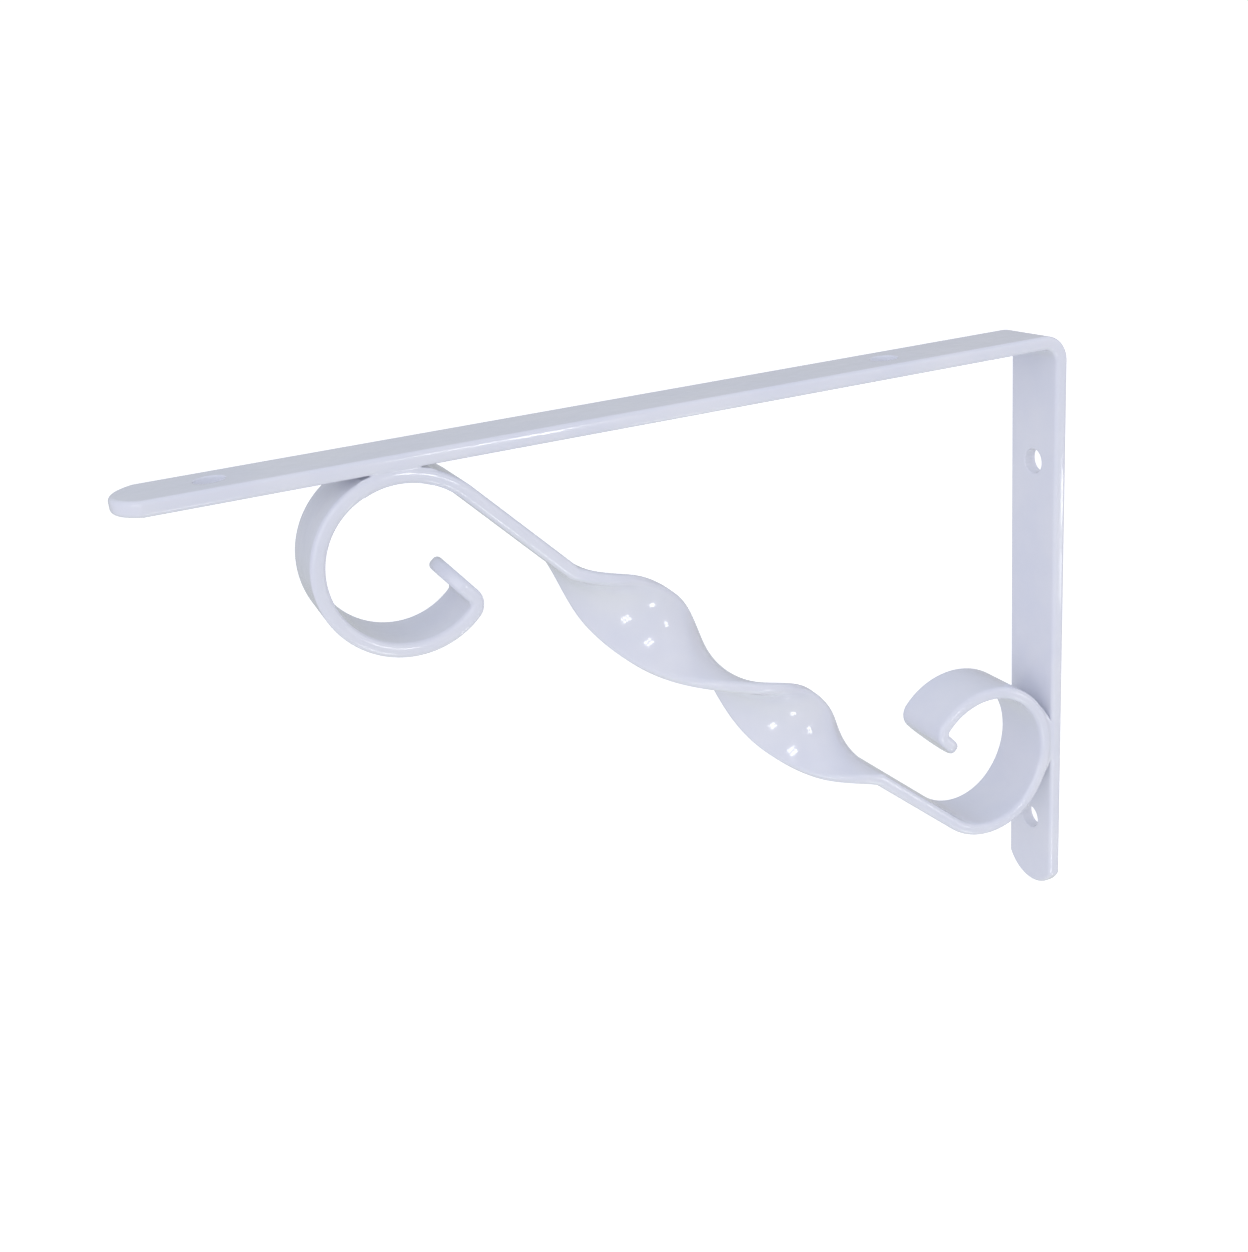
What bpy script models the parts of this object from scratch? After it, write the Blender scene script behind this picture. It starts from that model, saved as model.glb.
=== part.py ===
"""Shelf bracket in flat steel bar.

One bar is bent into a right-angled frame: a long arm under the shelf and a
shorter arm on the wall. A second bar braces the two arms on the diagonal. Its
middle is twisted a full turn, and each end is rolled into an open scroll that
finishes in a hooked tip.

Metres, +Z up. The wall is the plane X = 0, the shelf arm runs towards -X, and
the bars are centred on Y = 0. The origin is on the back of the wall arm,
midway between its two screw holes.
"""

import math

import bmesh
import bpy
from mathutils import Vector

# Flat bar of the frame
BAR_WIDTH = 0.016
FRAME_THICKNESS = 0.003
FRAME_EDGE_RADIUS = 0.0009
SHELF_ARM_LENGTH = 0.2024
WALL_ARM_HEIGHT = 0.1404
BEND_INNER_RADIUS = 0.003

# Rounded bar ends: an arc a little flatter than a half circle
END_RADIUS = 0.00907

# Screw holes, measured from the outer corner of the frame
HOLE_DIAMETER = 0.0058
SHELF_HOLES = (0.0425, 0.1848)
WALL_HOLES = (0.0298, 0.1222)
HOLE_SIDES = 32

# Flat bar of the brace
BRACE_THICKNESS = 0.0029
BRACE_EDGE_RADIUS = 0.0011
TWIST_LENGTH = 0.095
TWIST_TURNS = 1.0
TWIST_RUN_IN = 0.12          # share of the length over which the twist builds up
TWIST_UNEVEN = (0.243, 0.12, 0.062)  # radians by which the turn leads and lags
TWIST_SWELL = 0.0015         # extra width that the hammered twist has in its middle
TWIST_LIFT = 0.0013          # wobble of the centre line through the upper half of the twist
BRACE_SLOPE = -43.47         # degrees, heading of the bar at its middle
BRACE_SAG_RADIUS = 1.030     # the twisted stretch sags very slightly
BRACE_MIDDLE = (-0.0865, -0.0632)

# Scrolls, walked outwards from the twist: (bend radius, degrees) or a length
SHELF_SCROLL_STRAIGHT = 0.02806
SHELF_SCROLL = ((0.01802, 69.0), (0.01683, 200.54))
SHELF_HOOK_TURN = 85.24
SHELF_HOOK_LEG = 0.00786
WALL_SCROLL_STRAIGHT = 0.02711
WALL_SCROLL = ((0.0153, 87.83), (0.01921, 57.39), (0.01643, 123.5))
WALL_HOOK_TURN = 84.98
WALL_HOOK_LEG = 0.0074
HOOK_BEND_RADIUS = 0.0025

WELD_GAP = 0.0003            # clearance between the brace and each arm
ORIGIN_DEPTH = sum(WALL_HOLES) / 2  # of the origin below the outer corner

# Fineness
SCROLL_STEP = 6.0            # degrees
HOOK_STEP = 14.5
TWIST_STEP = 5.0
EDGE_STEPS = 2
END_STEPS = 5


def clear_scene():
    for obj in list(bpy.data.objects):
        bpy.data.objects.remove(obj, do_unlink=True)


def coating(name, colour, roughness):
    """White coating of one bar."""
    material = bpy.data.materials.new(name)
    material.use_nodes = True
    shader = material.node_tree.nodes["Principled BSDF"]
    shader.inputs["Base Color"].default_value = (*colour, 1.0)
    shader.inputs["Roughness"].default_value = roughness
    shader.inputs["Metallic"].default_value = 0.0
    material.diffuse_color = (*colour, 1.0)
    return material


class Walk:
    """A centreline in the XZ plane, drawn by straight runs and bends.

    The heading is measured from +X towards +Z, and a positive bend radius
    turns to the left. Each station is (distance, x, z, heading)."""

    def __init__(self, x, z, heading):
        self.distance, self.x, self.z, self.heading = 0.0, x, z, heading
        self.stations = [(0.0, x, z, heading)]

    def _mark(self):
        self.stations.append((self.distance, self.x, self.z, self.heading))

    def straight(self, length, steps=1):
        for _ in range(steps):
            self.x += length / steps * math.cos(self.heading)
            self.z += length / steps * math.sin(self.heading)
            self.distance += length / steps
            self._mark()

    def bend(self, radius, degrees, step):
        steps = max(1, round(degrees / step))
        turn = math.copysign(math.radians(degrees) / steps, radius)
        for _ in range(steps):
            chord = 2 * abs(radius) * math.sin(abs(turn) / 2)
            self.x += chord * math.cos(self.heading + turn / 2)
            self.z += chord * math.sin(self.heading + turn / 2)
            self.heading += turn
            self.distance += abs(radius) * abs(turn)
            self._mark()


def edge_levels(thickness, radius):
    """(inset, height) pairs up the rounded edge, from one flat face to the other."""
    half = thickness / 2
    levels = []
    for i in range(EDGE_STEPS + 1):
        a = math.pi / 2 * i / EDGE_STEPS
        levels.append((radius * (1 - math.sin(a)), -half + radius * (1 - math.cos(a))))
    return levels + [(inset, -height) for inset, height in reversed(levels)]


def end_arc(inset):
    """(distance from the tip, half width) from the tip to where the arc meets the sides."""
    radius, half = END_RADIUS - inset, BAR_WIDTH / 2 - inset
    reach = math.asin(half / radius)
    points = []
    for i in range(END_STEPS + 1):
        a = reach * i / END_STEPS
        points.append((END_RADIUS - radius * math.cos(a), radius * math.sin(a)))
    return points


def bar_mesh(name, stations, thickness, edge_radius, turn_at=None, swell_at=None):
    """One flat bar with rounded edges and ends, along the stations."""
    total = stations[-1][0]
    longest_arc = end_arc(edge_radius)[-1][0]
    inner = [s for s in stations if longest_arc + 1e-4 < s[0] < total - longest_arc - 1e-4]
    first, last = stations[0], stations[-1]

    def place(distance, across, height):
        if distance <= inner[0][0]:
            _, x, z, heading = first
            along = distance
        elif distance >= inner[-1][0]:
            _, x, z, heading = last
            along = distance - total
        else:
            _, x, z, heading = lookup[distance]
            along = 0.0
        turn = turn_at(distance) if turn_at else 0.0
        out = Vector((-math.sin(heading), 0.0, math.cos(heading)))
        side = Vector((0.0, 1.0, 0.0))
        wide = side * math.cos(turn) + out * math.sin(turn)
        thick = out * math.cos(turn) - side * math.sin(turn)
        centre = Vector((x + along * math.cos(heading), 0.0, z + along * math.sin(heading)))
        if swell_at:
            across *= 1 + swell_at(distance) / BAR_WIDTH
        return centre + wide * across + thick * height

    lookup = {s[0]: s for s in inner}
    mesh = bmesh.new()
    rings = []
    levels = edge_levels(thickness, edge_radius)
    for inset, height in levels:
        arc = end_arc(inset)
        half = BAR_WIDTH / 2 - inset
        columns = arc + [(s[0], half) for s in inner]
        columns += [(total - d, w) for d, w in reversed(arc)]
        ring = []
        for distance, width in columns:
            if width < 1e-9:
                tip = mesh.verts.new(place(distance, 0.0, height))
                ring.append((tip, tip))
            else:
                ring.append((mesh.verts.new(place(distance, width, height)),
                             mesh.verts.new(place(distance, -width, height))))
        rings.append((ring, columns))

    def face(*corners):
        distinct = [v for i, v in enumerate(corners) if v is not corners[i - 1]]
        if len(distinct) > 2:
            mesh.faces.new(distinct)

    count = len(rings[0][0])
    for (low, _), (high, _) in zip(rings, rings[1:]):
        for c in range(count - 1):
            face(low[c][0], high[c][0], high[c + 1][0], low[c + 1][0])
            face(low[c + 1][1], high[c + 1][1], high[c][1], low[c][1])
    for level, up in ((0, False), (len(levels) - 1, True)):
        ring, columns = rings[level]
        height = levels[level][1]
        middle = [ring[c][0] if c in (0, count - 1)
                  else mesh.verts.new(place(columns[c][0], 0.0, height))
                  for c in range(count)]
        for c in range(count - 1):
            a, b = (c, c + 1) if up else (c + 1, c)
            face(ring[a][0], middle[a], middle[b], ring[b][0])
            face(middle[a], ring[a][1], ring[b][1], middle[b])
    bmesh.ops.recalc_face_normals(mesh, faces=mesh.faces)
    data = bpy.data.meshes.new(name)
    mesh.to_mesh(data)
    mesh.free()
    data.shade_smooth()
    data.set_sharp_from_angle(angle=math.radians(32))
    return data


def frame_stations():
    """The shelf arm from its tip to the bend, and the wall arm down to its foot."""
    bend = BEND_INNER_RADIUS + FRAME_THICKNESS / 2
    spent = FRAME_THICKNESS / 2 + bend
    walk = Walk(-SHELF_ARM_LENGTH, -FRAME_THICKNESS / 2, 0.0)
    tip = end_arc(FRAME_EDGE_RADIUS)[-1][0] + 0.001
    walk.straight(tip)
    walk.straight(SHELF_ARM_LENGTH - spent - tip)
    walk.bend(-bend, 90.0, 7.5)
    walk.straight(WALL_ARM_HEIGHT - spent - tip)
    walk.straight(tip)
    return walk.stations


def twist_turn(share):
    """Angle turned through at this share of the twisted length."""
    e = TWIST_RUN_IN
    if share < e:
        eased = share * share / (2 * e)
    elif share > 1 - e:
        eased = 1 - e - (1 - share) ** 2 / (2 * e)
    else:
        eased = share - e / 2
    swing = sum(size * math.sin(2 * math.pi * (i + 1) * share)
                for i, size in enumerate(TWIST_UNEVEN))
    return -(2 * math.pi * TWIST_TURNS * eased / (1 - e) + swing)


def brace_stations():
    """The brace from the hooked tip under the shelf arm to the hooked tip at the wall."""
    x, z = BRACE_MIDDLE
    slope = math.radians(BRACE_SLOPE)
    half_twist = math.degrees(TWIST_LENGTH / 2 / BRACE_SAG_RADIUS)
    twist_steps = 360 * TWIST_TURNS / TWIST_STEP / 2
    tip = end_arc(BRACE_EDGE_RADIUS)[-1][0] + 0.0004

    def half(heading, side, straight, scroll, hook_turn, leg):
        walk = Walk(x, z, heading)
        walk.bend(side * BRACE_SAG_RADIUS, half_twist, half_twist / twist_steps)
        walk.straight(straight, 2)
        for radius, degrees in scroll:
            walk.bend(radius, degrees, SCROLL_STEP)
        walk.bend(HOOK_BEND_RADIUS, hook_turn, HOOK_STEP)
        walk.straight(leg - tip)
        walk.straight(tip)
        return walk.stations

    upper = half(slope + math.pi, -1, SHELF_SCROLL_STRAIGHT, SHELF_SCROLL,
                 SHELF_HOOK_TURN, SHELF_HOOK_LEG)
    lower = half(slope, 1, WALL_SCROLL_STRAIGHT, WALL_SCROLL,
                 WALL_HOOK_TURN, WALL_HOOK_LEG)
    reach = upper[-1][0]
    joined = [(reach - s, px, pz, heading - math.pi) for s, px, pz, heading in reversed(upper)]
    joined += [(reach + s, px, pz, heading) for s, px, pz, heading in lower[1:]]
    # Slid along both axes until it bears on the two arms.
    edge = BRACE_THICKNESS / 2
    bearing = -FRAME_THICKNESS - WELD_GAP
    up = bearing - max(pz + edge * math.cos(h) * (1 if math.cos(h) > 0 else -1)
                       for s, px, pz, h in joined if s < reach - TWIST_LENGTH / 2)
    across = bearing - max(px + edge * abs(math.sin(h))
                           for s, px, pz, h in joined if s > reach + TWIST_LENGTH / 2)
    moved = []
    for s, px, pz, h in joined:
        share = (s - reach) / TWIST_LENGTH + 0.5
        lift = 0.0
        if 0.0 < share < 1.0:
            lift = TWIST_LIFT * math.sin(math.pi * share) ** 2 * (1 - share)
        moved.append((s, px + across - lift * math.sin(h), pz + up + lift * math.cos(h), h))
    return moved, reach


def twist_laws(reach):
    """The turn and the extra width of the brace at each distance along it."""
    def share(distance):
        along = (distance - reach) / TWIST_LENGTH + 0.5
        return min(1.0, max(0.0, along))

    def turn_at(distance):
        return twist_turn(share(distance))

    def swell_at(distance):
        return TWIST_SWELL * (1 - (2 * share(distance) - 1) ** 4)

    return turn_at, swell_at


def add_object(name, data, material, parent, location=(0.0, 0.0, 0.0)):
    obj = bpy.data.objects.new(name, data)
    bpy.context.collection.objects.link(obj)
    if material is not None:
        data.materials.append(material)
    obj.parent = parent
    obj.location = location
    return obj


def drill(frame, name, centre, along_x):
    """A screw hole straight through one arm."""
    mesh = bmesh.new()
    radius = HOLE_DIAMETER / 2 / math.cos(math.pi / HOLE_SIDES)
    bmesh.ops.create_cone(mesh, cap_ends=True, segments=HOLE_SIDES,
                          radius1=radius, radius2=radius, depth=4 * FRAME_THICKNESS)
    data = bpy.data.meshes.new(name)
    mesh.to_mesh(data)
    mesh.free()
    cutter = add_object(name, data, None, frame.parent)
    cutter.location = Vector(centre) + frame.location
    if along_x:
        cutter.rotation_euler = (0.0, math.pi / 2, 0.0)
    cutter.hide_render = True
    cutter.display_type = "WIRE"
    cut = frame.modifiers.new(name, "BOOLEAN")
    cut.operation = "DIFFERENCE"
    cut.solver = "EXACT"
    cut.object = cutter


def main():
    clear_scene()
    root = bpy.data.objects.new("shelf_bracket", None)
    bpy.context.collection.objects.link(root)
    corner = (0.0, 0.0, ORIGIN_DEPTH)

    frame = add_object(
        "angle_frame",
        bar_mesh("angle_frame", frame_stations(), FRAME_THICKNESS, FRAME_EDGE_RADIUS),
        coating("frame_coating", (0.72, 0.73, 0.79), 0.28), root, corner)
    middle = -FRAME_THICKNESS / 2
    for i, depth in enumerate(SHELF_HOLES):
        drill(frame, f"shelf_hole_{i + 1}", (-depth, 0.0, middle), False)
    for i, depth in enumerate(WALL_HOLES):
        drill(frame, f"wall_hole_{i + 1}", (middle, 0.0, -depth), True)

    stations, reach = brace_stations()
    add_object(
        "twisted_scroll_brace",
        bar_mesh("twisted_scroll_brace", stations, BRACE_THICKNESS,
                 BRACE_EDGE_RADIUS, *twist_laws(reach)),
        coating("brace_coating", (0.72, 0.73, 0.79), 0.25), root, corner)


main()
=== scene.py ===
"""Looks of the flat-bar shelf bracket: glossy white powder coat on a bent frame
and a twisted, scrolled brace, with paint-filled welds where the two meet."""

import math

import bmesh
import bpy
import numpy as np
from mathutils import Matrix, Vector


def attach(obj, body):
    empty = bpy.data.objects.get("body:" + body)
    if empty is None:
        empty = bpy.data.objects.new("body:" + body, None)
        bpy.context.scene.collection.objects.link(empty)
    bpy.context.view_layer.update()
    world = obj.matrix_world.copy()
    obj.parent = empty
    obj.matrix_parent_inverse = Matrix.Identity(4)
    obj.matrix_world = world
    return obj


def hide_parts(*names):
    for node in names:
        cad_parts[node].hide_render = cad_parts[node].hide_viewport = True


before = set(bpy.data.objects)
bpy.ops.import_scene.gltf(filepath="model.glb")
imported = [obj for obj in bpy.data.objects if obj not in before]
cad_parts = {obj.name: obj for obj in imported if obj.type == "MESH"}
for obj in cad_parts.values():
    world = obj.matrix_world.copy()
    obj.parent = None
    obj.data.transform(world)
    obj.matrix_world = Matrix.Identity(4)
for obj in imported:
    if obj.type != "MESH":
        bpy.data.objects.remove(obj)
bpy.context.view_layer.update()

# ------------------------------------------------------------------ sizes, in metres
BAR_WIDTH = 0.016
FRAME_THICKNESS = 0.003
FRAME_EDGE_RADIUS = 0.0009
SHELF_ARM_LENGTH = 0.2024
WALL_ARM_HEIGHT = 0.1404
BEND_INNER_RADIUS = 0.003
END_RADIUS = 0.00907
HOLE_DIAMETER = 0.0058
SHELF_HOLES = (0.0425, 0.1848)
WALL_HOLES = (0.0298, 0.1222)

BRACE_THICKNESS = 0.0029
BRACE_EDGE_RADIUS = 0.0011
TWIST_LENGTH = 0.095
TWIST_TURNS = 1.0
TWIST_RUN_IN = 0.12
TWIST_UNEVEN = (0.243, 0.12, 0.062)
TWIST_SWELL = 0.00148
TWIST_LIFT = 0.0013
BRACE_SLOPE = -43.47
BRACE_SAG_RADIUS = 1.030
BRACE_MIDDLE = (-0.0865, -0.0632)
SHELF_SCROLL_STRAIGHT = 0.02806
SHELF_SCROLL = ((0.01802, 69.0), (0.01683, 200.54))
SHELF_HOOK_TURN = 85.24
SHELF_HOOK_LEG = 0.00786
WALL_SCROLL_STRAIGHT = 0.02711
WALL_SCROLL = ((0.0153, 87.83), (0.01921, 57.39), (0.01643, 123.5))
WALL_HOOK_TURN = 84.98
WALL_HOOK_LEG = 0.0074
HOOK_BEND_RADIUS = 0.0025
WELD_SINK = (0.00005, 0.0003)   # how far the paint and the weld draw the brace onto the two arms
ORIGIN_DEPTH = sum(WALL_HOLES) / 2

# fineness of the shown surfaces
STEP = 0.0006
EDGE_STEPS = 7
ACROSS = 8
RIM = 0.00026


# ------------------------------------------------------------------ centrelines
class Walk:
    """Stations (distance, x, z, heading) along straight runs and bends in the XZ plane."""

    def __init__(self, x, z, heading):
        self.d, self.x, self.z, self.h = 0.0, x, z, heading
        self.stations = [(0.0, x, z, heading)]

    def _mark(self):
        self.stations.append((self.d, self.x, self.z, self.h))

    def straight(self, length, step=STEP):
        n = max(1, round(length / step))
        for _ in range(n):
            self.x += length / n * math.cos(self.h)
            self.z += length / n * math.sin(self.h)
            self.d += length / n
            self._mark()

    def bend(self, radius, degrees, step=STEP):
        n = max(2, round(abs(radius) * math.radians(degrees) / step))
        turn = math.copysign(math.radians(degrees) / n, radius)
        for _ in range(n):
            chord = 2 * abs(radius) * math.sin(abs(turn) / 2)
            self.x += chord * math.cos(self.h + turn / 2)
            self.z += chord * math.sin(self.h + turn / 2)
            self.h += turn
            self.d += abs(radius) * abs(turn)
            self._mark()


def frame_stations():
    bend = BEND_INNER_RADIUS + FRAME_THICKNESS / 2
    spent = FRAME_THICKNESS / 2 + bend
    walk = Walk(-SHELF_ARM_LENGTH, -FRAME_THICKNESS / 2, 0.0)
    walk.straight(SHELF_ARM_LENGTH - spent, 0.0009)
    walk.bend(-bend, 90.0, 0.00025)
    walk.straight(WALL_ARM_HEIGHT - spent, 0.0009)
    return walk.stations


def twist_turn(share):
    e = TWIST_RUN_IN
    if share < e:
        eased = share * share / (2 * e)
    elif share > 1 - e:
        eased = 1 - e - (1 - share) ** 2 / (2 * e)
    else:
        eased = share - e / 2
    swing = sum(size * math.sin(2 * math.pi * (i + 1) * share)
                for i, size in enumerate(TWIST_UNEVEN))
    return -(2 * math.pi * TWIST_TURNS * eased / (1 - e) + swing)


def brace_stations():
    x, z = BRACE_MIDDLE
    slope = math.radians(BRACE_SLOPE)
    half_twist = math.degrees(TWIST_LENGTH / 2 / BRACE_SAG_RADIUS)

    def half(heading, side, straight, scroll, hook_turn, leg):
        walk = Walk(x, z, heading)
        walk.bend(side * BRACE_SAG_RADIUS, half_twist)
        walk.straight(straight)
        for radius, degrees in scroll:
            walk.bend(radius, degrees)
        walk.bend(HOOK_BEND_RADIUS, hook_turn, 0.0003)
        walk.straight(leg)
        return walk.stations

    upper = half(slope + math.pi, -1, SHELF_SCROLL_STRAIGHT, SHELF_SCROLL,
                 SHELF_HOOK_TURN, SHELF_HOOK_LEG)
    lower = half(slope, 1, WALL_SCROLL_STRAIGHT, WALL_SCROLL,
                 WALL_HOOK_TURN, WALL_HOOK_LEG)
    reach = upper[-1][0]
    joined = [(reach - s, px, pz, h - math.pi) for s, px, pz, h in reversed(upper)]
    joined += [(reach + s, px, pz, h) for s, px, pz, h in lower[1:]]
    edge = BRACE_THICKNESS / 2
    up = WELD_SINK[1] - FRAME_THICKNESS - max(pz + edge * abs(math.cos(h)) for s, px, pz, h in joined
                       if s < reach - TWIST_LENGTH / 2)
    across = WELD_SINK[0] - FRAME_THICKNESS - max(px + edge * abs(math.sin(h)) for s, px, pz, h in joined
                           if s > reach + TWIST_LENGTH / 2)
    moved = []
    for s, px, pz, h in joined:
        share = (s - reach) / TWIST_LENGTH + 0.5
        lift = 0.0
        if 0.0 < share < 1.0:
            lift = TWIST_LIFT * math.sin(math.pi * share) ** 2 * (1 - share)
        moved.append((s, px + across - lift * math.sin(h), pz + up + lift * math.cos(h), h))
    return moved, reach


# ------------------------------------------------------------------ bar surfaces
def edge_levels(thickness, radius):
    half = thickness / 2
    low = []
    for i in range(EDGE_STEPS + 1):
        a = math.pi / 2 * i / EDGE_STEPS
        low.append((radius * (1 - math.sin(a)), -half + radius * (1 - math.cos(a))))
    return low + [(0.0, 0.0)] + [(inset, -height) for inset, height in reversed(low)]


def end_arc(inset, steps=12):
    radius, half = END_RADIUS - inset, BAR_WIDTH / 2 - inset
    reach = math.asin(half / radius)
    return [(END_RADIUS - radius * math.cos(reach * i / steps),
             radius * math.sin(reach * i / steps)) for i in range(steps + 1)]


def bar_object(name, stations, thickness, edge_radius, turn_at=None, swell_at=None, holes=()):
    """A flat bar with rounded edges and ends. Holes are distances along the bar's centre line."""
    total = stations[-1][0]
    longest = end_arc(edge_radius)[-1][0]
    patch = BAR_WIDTH / 2 - edge_radius
    keep = [s for s in stations if longest + 2e-4 < s[0] < total - longest - 2e-4]
    samples = np.array(stations)

    def at(distance):
        d = min(max(distance, 0.0), total)
        return [float(np.interp(d, samples[:, 0], samples[:, k])) for k in (1, 2, 3)]

    inner = [s[0] for s in keep]
    for hole in holes:
        inner = [d for d in inner if not hole - patch - 3e-4 < d < hole + patch + 3e-4]
        inner += [hole + patch * (2 * i / (2 * ACROSS) - 1) for i in range(2 * ACROSS + 1)]
    inner.sort()
    verts, faces = [], []
    cache = {}

    def place(distance, across, height):
        if distance not in cache:
            x, z, h = at(distance)
            turn = turn_at(distance) if turn_at else 0.0
            out = np.array([-math.sin(h), 0.0, math.cos(h)])
            side = np.array([0.0, 1.0, 0.0])
            wide = side * math.cos(turn) + out * math.sin(turn)
            thick = out * math.cos(turn) - side * math.sin(turn)
            grow = 1 + (swell_at(distance) / BAR_WIDTH if swell_at else 0.0)
            cache[distance] = (np.array([x, 0.0, z]), wide * grow, thick)
        centre, wide, thick = cache[distance]
        return centre + wide * across + thick * height

    def add(distance, across, height):
        verts.append(place(distance, across, height))
        return len(verts) - 1

    levels = edge_levels(thickness, edge_radius)
    rings = []
    for inset, height in levels:
        arc = end_arc(inset)
        half = BAR_WIDTH / 2 - inset
        columns = arc + [(d, half) for d in inner] + [(total - d, w) for d, w in reversed(arc)]
        ring = []
        for distance, width in columns:
            if width < 1e-9:
                tip = add(distance, 0.0, height)
                ring.append((tip, tip))
            else:
                ring.append((add(distance, width, height), add(distance, -width, height)))
        rings.append((ring, columns))
    count = len(rings[0][0])
    for (low, _), (high, _) in zip(rings, rings[1:]):
        for c in range(count - 1):
            faces.append((low[c][0], high[c][0], high[c + 1][0], low[c + 1][0]))
            faces.append((low[c + 1][1], high[c + 1][1], high[c][1], low[c][1]))

    spans = []
    offset = len(end_arc(0.0))
    for hole in holes:
        first = min(range(len(inner)), key=lambda i: abs(inner[i] - (hole - patch))) + offset
        spans.append((first, first + 2 * ACROSS, hole))

    mouths = {}
    for which, sign in ((0, -1), (len(levels) - 1, 1)):
        ring, columns = rings[which]
        height = levels[which][1]
        rows = []
        for c in range(count):
            near, far = ring[c][0], ring[c][1]
            if near == far:
                rows.append([near] * (2 * ACROSS + 1))
                continue
            distance, width = columns[c]
            inside = [s for s in spans if s[0] < c < s[1]]
            row = [near]
            for k in range(1, 2 * ACROSS):
                row.append(-1 if inside else add(distance, width * (1 - k / ACROSS), height))
            rows.append(row + [far])
        for c in range(count - 1):
            if any(s[0] <= c < s[1] for s in spans):
                continue
            for k in range(2 * ACROSS):
                quad = [rows[c][k], rows[c][k + 1], rows[c + 1][k + 1], rows[c + 1][k]]
                faces.append(tuple(quad if sign > 0 else quad[::-1]))
        for first, last, hole in spans:
            n = 2 * ACROSS
            border = [(first + k, 0) for k in range(n)]           # along +side
            border += [(last, k) for k in range(n)]
            border += [(last - k, n) for k in range(n)]
            border += [(first, n - k) for k in range(n)]
            loop = [rows[c][k] for c, k in border]
            square = []
            for c, k in border:
                distance, width = columns[c]
                square.append((distance - hole, width * (1 - k / ACROSS)))
            mouth = HOLE_DIAMETER / 2
            lip = mouth + RIM
            outer = loop
            for step in range(1, 7):
                t = (step / 6) ** 0.8
                ringv = []
                for (u, v) in square:
                    a = math.atan2(v, u)
                    pu, pv = lip * math.cos(a), lip * math.sin(a)
                    ringv.append(add(hole + u + (pu - u) * t, v + (pv - v) * t, height))
                for i in range(len(loop)):
                    j = (i + 1) % len(loop)
                    quad = (outer[i], ringv[i], ringv[j], outer[j])
                    faces.append(quad if sign < 0 else quad[::-1])
                outer = ringv
            for step in range(1, 6):
                a = math.pi / 2 * step / 5
                radius = lip - RIM * math.sin(a)
                depth = height - sign * RIM * (1 - math.cos(a))
                ringv = []
                for (u, v) in square:
                    b = math.atan2(v, u)
                    ringv.append(add(hole + radius * math.cos(b), radius * math.sin(b), depth))
                for i in range(len(loop)):
                    j = (i + 1) % len(loop)
                    quad = (outer[i], ringv[i], ringv[j], outer[j])
                    faces.append(quad if sign < 0 else quad[::-1])
                outer = ringv
            mouths.setdefault(hole, []).append(outer)
    for hole, (low, high) in mouths.items():
        previous = low
        for step in range(1, 5):
            if step == 4:
                nxt = high
            else:
                nxt = []
                for a, b in zip(low, high):
                    verts.append(verts[a] + (verts[b] - verts[a]) * step / 4)
                    nxt.append(len(verts) - 1)
            for i in range(len(low)):
                j = (i + 1) % len(low)
                faces.append((previous[i], nxt[i], nxt[j], previous[j]))
            previous = nxt

    clean = []
    for f in faces:
        g = [v for i, v in enumerate(f) if v != f[i - 1]]
        if len(g) > 2:
            clean.append(g)
    data = bpy.data.meshes.new(name)
    data.from_pydata([tuple(v) for v in verts], [], clean)
    data.validate()
    mesh = bmesh.new()
    mesh.from_mesh(data)
    bmesh.ops.remove_doubles(mesh, verts=mesh.verts, dist=1e-7)
    bmesh.ops.recalc_face_normals(mesh, faces=mesh.faces)
    mesh.to_mesh(data)
    mesh.free()
    data.transform(Matrix.Translation((0.0, 0.0, ORIGIN_DEPTH)))
    data.shade_smooth()
    obj = bpy.data.objects.new(name, data)
    bpy.context.scene.collection.objects.link(obj)
    return obj


# ------------------------------------------------------------------ paint-filled welds
def bar_edge_distance(across, height, half_width, half_height, radius):
    """Distance to a rounded rectangle, the section of a bar."""
    qx = np.abs(across) - (half_width - radius)
    qy = np.abs(height) - (half_height - radius)
    return (np.hypot(np.maximum(qx, 0), np.maximum(qy, 0))
            + np.minimum(np.maximum(qx, qy), 0) - radius)


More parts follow.
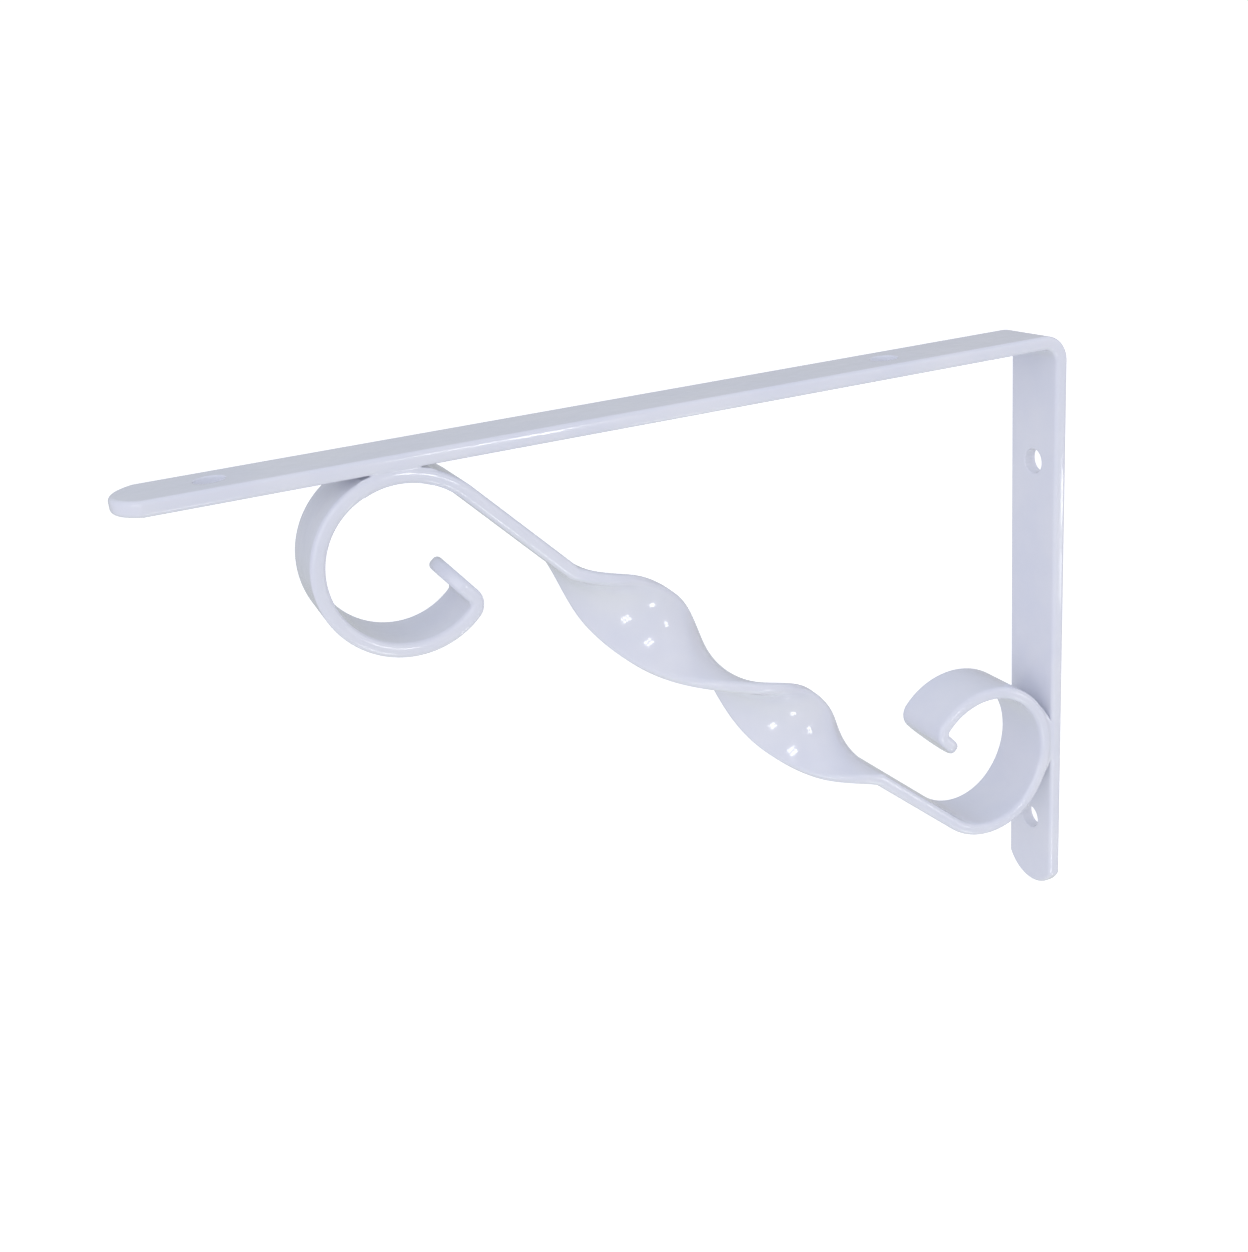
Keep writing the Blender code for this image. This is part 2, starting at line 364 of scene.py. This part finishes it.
def weld_object(name, contact, direction, sink, radius_inside, blend, reach, tips, slope):
    """The fillet where a scroll lies against an arm, as a thin closed body.

    contact is the point of the scroll's outer face that touches, direction the unit
    vector from the scroll's middle to the arm, both in the XZ plane. The two bars are
    blended smoothly, and paint fills the slit beside the contact up to the two tips,
    from where a thin wedge of air opens under the arm with the given slope."""
    cx, cz = contact
    dx, dz = direction
    tx, tz = -dz, dx
    step = 0.00017
    us = np.arange(-reach, reach + step, step)
    vs = np.arange(-0.0088, 0.0088 + step, step)
    ws = np.arange(-0.0042, 0.0030 + step, step)
    U, V, W = np.meshgrid(us, vs, ws, indexing="ij")

    def field(u, v, w):
        arm = bar_edge_distance(v, w + sink - FRAME_THICKNESS / 2, BAR_WIDTH / 2,
                                FRAME_THICKNESS / 2, FRAME_EDGE_RADIUS)
        rho = np.hypot(u, w + radius_inside)
        scroll = bar_edge_distance(v, rho - (radius_inside - BRACE_THICKNESS / 2),
                                   BAR_WIDTH / 2, BRACE_THICKNESS / 2, BRACE_EDGE_RADIUS)
        # the fill: above the scroll, below the air wedge, sinking away past the tips
        past = np.maximum(np.maximum(u - tips[1], tips[0] - u), 0.0)
        bead = 0.00075 - 0.19 * past
        air = -sink - slope * past
        sunk = 0.00030 + 0.10 * past
        above = w - np.where(past > 0, np.minimum(air, radius_inside + bead - rho + w), 0.0009)
        slit = np.maximum(np.maximum(above, -0.0010 - w - (u * u) / (2 * radius_inside)),
                          np.abs(v) - (BAR_WIDTH / 2 - sunk))
        fade = np.clip(1 - past / 0.003, 0.0, 1.0)
        bars = np.minimum(arm, scroll)
        h = np.maximum(blend - np.abs(arm - scroll), 0) / blend
        joined = bars - h * h * blend / 8 * fade * fade
        k2 = 0.0004
        h2 = np.maximum(k2 - np.abs(joined - slit), 0) / k2
        joined = np.minimum(joined, slit) - h2 * h2 * k2 / 4
        skin = joined + 0.000012
        inside = -(bars + 0.0005)
        return np.maximum(np.maximum(skin, inside), np.abs(u) - (reach - 3 * step))

    F = field(U, V, W)
    inside = F < 0
    nx, ny, nz = F.shape
    cell = np.zeros((nx - 1, ny - 1, nz - 1), int)
    for i in (0, 1):
        for j in (0, 1):
            for k in (0, 1):
                cell += inside[i:nx - 1 + i, j:ny - 1 + j, k:nz - 1 + k]
    active = (cell > 0) & (cell < 8)
    index = -np.ones(active.shape, int)
    index[active] = np.arange(active.sum())
    where = np.argwhere(active)
    total = np.zeros((len(where), 3))
    hits = np.zeros(len(where))
    corners = [(i, j, k) for i in (0, 1) for j in (0, 1) for k in (0, 1)]
    for a in corners:
        for b in corners:
            if sum(b) - sum(a) != 1 or sum(abs(p - q) for p, q in zip(a, b)) != 1:
                continue
            fa = F[where[:, 0] + a[0], where[:, 1] + a[1], where[:, 2] + a[2]]
            fb = F[where[:, 0] + b[0], where[:, 1] + b[1], where[:, 2] + b[2]]
            cross = (fa < 0) != (fb < 0)
            t = np.where(cross, fa / np.where(cross, fa - fb, 1.0), 0.0)
            point = np.array(a) + t[:, None] * (np.array(b) - np.array(a))
            total += np.where(cross[:, None], point, 0.0)
            hits += cross
    local = where + total / hits[:, None]
    pts = np.stack([us[0] + local[:, 0] * step, vs[0] + local[:, 1] * step,
                    ws[0] + local[:, 2] * step], 1)
    eps = 2e-5
    for _ in range(3):
        f0 = field(*pts.T)
        g = np.stack([field(*(pts + e).T) - field(*(pts - e).T)
                      for e in np.eye(3) * eps], 1) / (2 * eps)
        norm = np.maximum((g * g).sum(1), 0.05)
        move = -f0[:, None] * g / norm[:, None]
        pts += np.clip(move, -0.4 * step, 0.4 * step)
    faces = []
    for axis in range(3):
        shift = [0, 0, 0]
        shift[axis] = 1
        a = inside[:nx - shift[0], :ny - shift[1], :nz - shift[2]]
        b = inside[shift[0]:, shift[1]:, shift[2]:]
        edges = np.argwhere(a != b)
        o1, o2 = [k for k in range(3) if k != axis]
        ok = ((edges[:, o1] > 0) & (edges[:, o2] > 0)
              & (edges[:, o1] < F.shape[o1] - 1) & (edges[:, o2] < F.shape[o2] - 1))
        edges = edges[ok]
        corner = []
        for da, db in ((-1, -1), (0, -1), (0, 0), (-1, 0)):
            e = edges.copy()
            e[:, o1] += da
            e[:, o2] += db
            corner.append(index[e[:, 0], e[:, 1], e[:, 2]])
        quads = np.stack(corner, 1)
        flip = a[edges[:, 0], edges[:, 1], edges[:, 2]]
        if axis == 1:
            flip = ~flip
        quads[~flip] = quads[~flip][:, ::-1]
        faces.append(quads)
    faces = np.concatenate(faces)
    world = np.empty_like(pts)
    world[:, 0] = cx + tx * pts[:, 0] + dx * pts[:, 2]
    world[:, 1] = pts[:, 1]
    world[:, 2] = cz + tz * pts[:, 0] + dz * pts[:, 2] + ORIGIN_DEPTH
    data = bpy.data.meshes.new(name)
    data.from_pydata(world.tolist(), [], faces.tolist())
    data.validate()
    mesh = bmesh.new()
    mesh.from_mesh(data)
    bmesh.ops.recalc_face_normals(mesh, faces=mesh.faces)
    mesh.to_mesh(data)
    mesh.free()
    data.shade_smooth()
    obj = bpy.data.objects.new(name, data)
    bpy.context.scene.collection.objects.link(obj)
    return obj


# ------------------------------------------------------------------ materials
def powder_coat(name, base, seed):
    """Glossy powder coat: faint orange peel, slow flow marks and a few nibs."""
    material = bpy.data.materials.new(name)
    material.use_nodes = True
    tree = material.node_tree
    nodes, links = tree.nodes, tree.links
    shader = nodes["Principled BSDF"]
    shader.inputs["Metallic"].default_value = 0.0
    shader.inputs["IOR"].default_value = 1.5
    shader.inputs["Specular IOR Level"].default_value = 0.5
    shader.inputs["Coat Weight"].default_value = 0.9
    shader.inputs["Coat Roughness"].default_value = 0.018
    shader.inputs["Coat IOR"].default_value = 1.5

    where = nodes.new("ShaderNodeTexCoord")
    place = nodes.new("ShaderNodeMapping")
    place.inputs["Location"].default_value = (seed * 0.37, seed * 0.21, seed * 0.13)
    links.new(where.outputs["Object"], place.inputs["Vector"])

    def noise(scale, detail, rough=0.5):
        n = nodes.new("ShaderNodeTexNoise")
        n.inputs["Scale"].default_value = scale
        n.inputs["Detail"].default_value = detail
        n.inputs["Roughness"].default_value = rough
        links.new(place.outputs["Vector"], n.inputs["Vector"])
        return n

    cloud = noise(70, 3)
    tint = nodes.new("ShaderNodeValToRGB")
    tint.color_ramp.elements[0].position = 0.35
    tint.color_ramp.elements[0].color = (base[0] * 0.965, base[1] * 0.97, base[2] * 0.985, 1)
    tint.color_ramp.elements[1].position = 0.65
    tint.color_ramp.elements[1].color = (base[0] * 1.02, base[1] * 1.015, base[2] * 1.0, 1)
    links.new(cloud.outputs["Fac"], tint.inputs["Fac"])
    links.new(tint.outputs["Color"], shader.inputs["Base Color"])

    gloss = noise(260, 2)
    rough = nodes.new("ShaderNodeMapRange")
    rough.inputs["From Min"].default_value = 0.3
    rough.inputs["From Max"].default_value = 0.7
    rough.inputs["To Min"].default_value = 0.13
    rough.inputs["To Max"].default_value = 0.24
    links.new(gloss.outputs["Fac"], rough.inputs["Value"])
    links.new(rough.outputs["Result"], shader.inputs["Roughness"])

    peel = noise(620, 2, 0.4)
    flow = noise(150, 1)
    nibs = nodes.new("ShaderNodeTexVoronoi")
    nibs.inputs["Scale"].default_value = 170
    links.new(place.outputs["Vector"], nibs.inputs["Vector"])
    speck = nodes.new("ShaderNodeMapRange")
    speck.interpolation_type = "SMOOTHSTEP"
    speck.inputs["From Min"].default_value = 0.05
    speck.inputs["From Max"].default_value = 0.012
    links.new(nibs.outputs["Distance"], speck.inputs["Value"])

    bump1 = nodes.new("ShaderNodeBump")
    bump1.inputs["Strength"].default_value = 0.32
    bump1.inputs["Distance"].default_value = 0.00006
    links.new(peel.outputs["Fac"], bump1.inputs["Height"])
    bump2 = nodes.new("ShaderNodeBump")
    bump2.inputs["Strength"].default_value = 0.35
    bump2.inputs["Distance"].default_value = 0.00012
    links.new(flow.outputs["Fac"], bump2.inputs["Height"])
    links.new(bump1.outputs["Normal"], bump2.inputs["Normal"])
    bump3 = nodes.new("ShaderNodeBump")
    bump3.inputs["Strength"].default_value = 0.25
    bump3.inputs["Distance"].default_value = 0.00003
    links.new(speck.outputs["Result"], bump3.inputs["Height"])
    links.new(bump2.outputs["Normal"], bump3.inputs["Normal"])
    links.new(bump3.outputs["Normal"], shader.inputs["Normal"])
    ripple = nodes.new("ShaderNodeBump")
    ripple.inputs["Strength"].default_value = 0.09
    ripple.inputs["Distance"].default_value = 0.00006
    links.new(peel.outputs["Fac"], ripple.inputs["Height"])
    links.new(ripple.outputs["Normal"], shader.inputs["Coat Normal"])
    return material


def plain(name, colour, roughness, glow=0.0):
    material = bpy.data.materials.new(name)
    material.use_nodes = True
    shader = material.node_tree.nodes["Principled BSDF"]
    shader.inputs["Base Color"].default_value = (*colour, 1.0)
    shader.inputs["Roughness"].default_value = roughness
    shader.inputs["Specular IOR Level"].default_value = 0.1
    if glow:
        shader.inputs["Emission Color"].default_value = (1.0, 1.0, 1.0, 1.0)
        shader.inputs["Emission Strength"].default_value = glow
    return material


BASE = (0.825, 0.840, 0.915)
frame_paint = powder_coat("frame_powder_coat", BASE, 1.0)
brace_paint = powder_coat("brace_powder_coat", BASE, 2.0)

# ------------------------------------------------------------------ the two bars
stations, reach = brace_stations()


def share(distance):
    return min(1.0, max(0.0, (distance - reach) / TWIST_LENGTH + 0.5))


def turn_at(distance):
    return twist_turn(share(distance))


def swell_at(distance):
    return TWIST_SWELL * (1 - (2 * share(distance) - 1) ** 4)


bend = BEND_INNER_RADIUS + FRAME_THICKNESS / 2
spent = FRAME_THICKNESS / 2 + bend
arc_length = bend * math.pi / 2
holes = [SHELF_ARM_LENGTH - d for d in SHELF_HOLES]
holes += [SHELF_ARM_LENGTH - spent + arc_length + d - spent for d in WALL_HOLES]
angle = bar_object("bent_angle_frame", frame_stations(), FRAME_THICKNESS,
                   FRAME_EDGE_RADIUS, holes=sorted(holes))
brace = bar_object("scrolled_brace", stations, BRACE_THICKNESS, BRACE_EDGE_RADIUS,
                   turn_at, swell_at)

top = max((pz, px) for s, px, pz, h in stations if s < reach - TWIST_LENGTH / 2)
side = max((px, pz) for s, px, pz, h in stations if s > reach + TWIST_LENGTH / 2)
shelf_weld = weld_object("shelf_arm_weld", (top[1], top[0] + BRACE_THICKNESS / 2), (0.0, 1.0),
                         WELD_SINK[1], SHELF_SCROLL[1][0] + BRACE_THICKNESS / 2, 0.0012, 0.0105,
                         (-0.0040, 0.0040), 0.26)
wall_weld = weld_object("wall_arm_weld", (side[0] + BRACE_THICKNESS / 2, side[1]), (1.0, 0.0),
                        WELD_SINK[0], WALL_SCROLL[1][0] + BRACE_THICKNESS / 2, 0.0012, 0.0105,
                        (-0.0045, 0.0056), 0.26)

for piece, paint, slot, node in ((angle, frame_paint, "frame_coating", "angle_frame"),
                                 (brace, brace_paint, "brace_coating", "twisted_scroll_brace")):
    piece.data.materials.append(paint)
    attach(piece, "root")
    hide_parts(node)
for piece in (shelf_weld, wall_weld):
    piece.data.materials.append(brace_paint)
    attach(piece, "root")

# ------------------------------------------------------------------ floor and backdrop
def sweep_floor():
    """A pale round floor that curves up into a backdrop on every side."""
    mesh = bmesh.new()
    level, radius, rise, curve, turns = -0.560, 3.0, 3.4, 0.9, 96
    profile = [(radius - curve, level)]
    profile += [(radius - curve + curve * math.sin(math.radians(a)),
                 level + curve * (1 - math.cos(math.radians(a)))) for a in range(6, 91, 6)]
    profile.append((radius, level + rise))
    angles = [2 * math.pi * i / turns for i in range(turns)]
    rings = [[mesh.verts.new((r * math.cos(a), r * math.sin(a), z)) for a in angles]
             for r, z in profile]
    mesh.faces.new(rings[0])
    for low, high in zip(rings, rings[1:]):
        for i in range(turns):
            j = (i + 1) % turns
            mesh.faces.new((low[i], low[j], high[j], high[i]))
    bmesh.ops.recalc_face_normals(mesh, faces=mesh.faces)
    data = bpy.data.meshes.new("floor")
    mesh.to_mesh(data)
    mesh.free()
    data.shade_smooth()
    data.materials.append(plain("pale_floor", (0.90, 0.90, 0.90), 0.9, 0.48))
    obj = bpy.data.objects.new("floor", data)
    obj.visible_glossy = obj.visible_diffuse = obj.visible_shadow = False
    bpy.context.scene.collection.objects.link(obj)
    return obj


sweep_floor()

# ------------------------------------------------------------------ light
# light from left and right, front and back, below and above
ROOM = {"X": ((0.735, 0.741, 0.855), (0.51, 0.50, 0.54)),
        "Y": ((0.535, 0.543, 0.595), (0.473, 0.496, 0.527)),
        "Z": ((0.665, 0.695, 0.665), (0.76, 0.793, 0.879))}
WINDOWS = (
    ("window_low", -9.5, -38.5, 0.62, 0.135, 0.108, -32.0, 3, 2, 9.0),
    ("window_right_low", 39.5, -47.0, 0.62, 0.073, 0.081, -4.0, 2, 1, 9.0),
    ("window_right", 48.2, -14.0, 0.62, 0.083, 0.097, -8.0, 1, 2, 9.5, 0.19),
    ("window_front", 12.8, 4.0, 0.62, 0.136, 0.119, -24.0, 3, 2, 9.0),
    ("fill_left", -50.0, 22.0, 1.30, 1.30, 1.20, 0.0, 1, 1, 0.53),
    ("fill_right", 60.0, 20.0, 1.30, 1.30, 1.20, 0.0, 1, 1, 0.29),
)
world = bpy.data.worlds.new("studio")
bpy.context.scene.world = world
world.use_nodes = True
tree = world.node_tree
background = tree.nodes["Background"]
heading = tree.nodes.new("ShaderNodeTexCoord")
split = tree.nodes.new("ShaderNodeSeparateXYZ")
tree.links.new(heading.outputs["Generated"], split.inputs["Vector"])


def calc(operation, first, second):
    node = tree.nodes.new("ShaderNodeMath")
    node.operation = operation
    for socket, value in zip(node.inputs, (first, second)):
        if isinstance(value, float):
            socket.default_value = value
        else:
            tree.links.new(value, socket)
    return node.outputs["Value"]


# each of the six directions lights the room by the square of its share of the direction
total = None
for axis, sides in ROOM.items():
    along = split.outputs[axis]
    square = calc("MULTIPLY", along, along)
    for colour, test in zip(sides, ("LESS_THAN", "GREATER_THAN")):
        part = tree.nodes.new("ShaderNodeVectorMath")
        part.operation = "SCALE"
        part.inputs[0].default_value = colour
        tree.links.new(calc("MULTIPLY", square, calc(test, along, 0.0)), part.inputs["Scale"])
        if total is None:
            total = part.outputs["Vector"]
        else:
            added = tree.nodes.new("ShaderNodeVectorMath")
            added.operation = "ADD"
            tree.links.new(total, added.inputs[0])
            tree.links.new(part.outputs["Vector"], added.inputs[1])
            total = added.outputs["Vector"]
tree.links.new(total, background.inputs["Color"])

middle = Vector((-0.090, 0.0, 0.012))


def area(name, place, turn, width, height, radiance, beam):
    light = bpy.data.lights.new(name, "AREA")
    light.shape = "RECTANGLE"
    light.size, light.size_y = width, height
    light.energy = radiance * math.pi * width * height
    if beam:
        light.spread = 2 * beam
        light.energy *= (math.tan(beam) - beam) / math.tan(beam)
    obj = bpy.data.objects.new(name, light)
    obj.location = place
    obj.rotation_euler = turn
    obj.visible_camera = False
    bpy.context.scene.collection.objects.link(obj)
    return obj


def window(name, azimuth, elevation, distance, width, height, roll, columns, rows, radiance,
           beam=0.0):
    """A paned window seen from the bracket at azimuth (0 in front, + to the right) and
    elevation, both in degrees. Sizes are in metres. With a beam, a half angle in radians,
    it shines only towards the middle of the bracket."""
    a, e = math.radians(azimuth), math.radians(elevation)
    way = Vector((math.sin(a) * math.cos(e), -math.cos(a) * math.cos(e), math.sin(e)))
    across = Vector((math.cos(a), math.sin(a), 0.0))
    upward = across.cross(-way).normalized()
    if upward.z < 0:
        upward.negate()
    r = math.radians(roll)
    across, upward = (across * math.cos(r) + upward * math.sin(r),
                      upward * math.cos(r) - across * math.sin(r))
    turn = Matrix((across, upward, across.cross(upward))).transposed()
    if (turn.col[2].dot(way)) < 0:
        turn = Matrix((across, -upward, across.cross(-upward))).transposed()
    centre = middle + way * distance
    bar = 0.26 if columns * rows > 1 else 0.0
    for i in range(columns):
        for j in range(rows):
            u = width * ((i + 0.5) / columns - 0.5)
            v = height * ((j + 0.5) / rows - 0.5)
            area(f"{name}_{i}_{j}", centre + across * u + upward * v, turn.to_euler(),
                 width / columns * (1 - bar), height / rows * (1 - bar), radiance, beam)


for spec in WINDOWS:
    window(*spec)

# ------------------------------------------------------------------ camera
AZIMUTH, ELEVATION, ROLL = (math.radians(a) for a in (-21.509, 20.295, -5.659))
FOCAL_PIXELS, LONG_SIDE = 1406.0, 1252
back = Vector((math.sin(AZIMUTH) * math.cos(ELEVATION),
               -math.cos(AZIMUTH) * math.cos(ELEVATION), math.sin(ELEVATION)))
right = (-back).cross(Vector((0, 0, 1))).normalized()
up = right.cross(-back)
rolled_right = math.cos(ROLL) * right + math.sin(ROLL) * up
rolled_up = -math.sin(ROLL) * right + math.cos(ROLL) * up
camera = bpy.data.objects.new("camera", bpy.data.cameras.new("camera"))
camera.data.sensor_width = 36.0
camera.data.lens = FOCAL_PIXELS / LONG_SIDE * 36.0
camera.data.clip_start = 0.01
camera.data.clip_end = 20.0
turned = Matrix((rolled_right, rolled_up, back)).transposed().to_4x4()
turned.translation = Vector((-0.20924, -0.25679, 0.05600 + ORIGIN_DEPTH))
camera.matrix_world = turned
bpy.context.scene.collection.objects.link(camera)
bpy.context.scene.camera = camera
bpy.context.scene.view_settings.view_transform = "Standard"
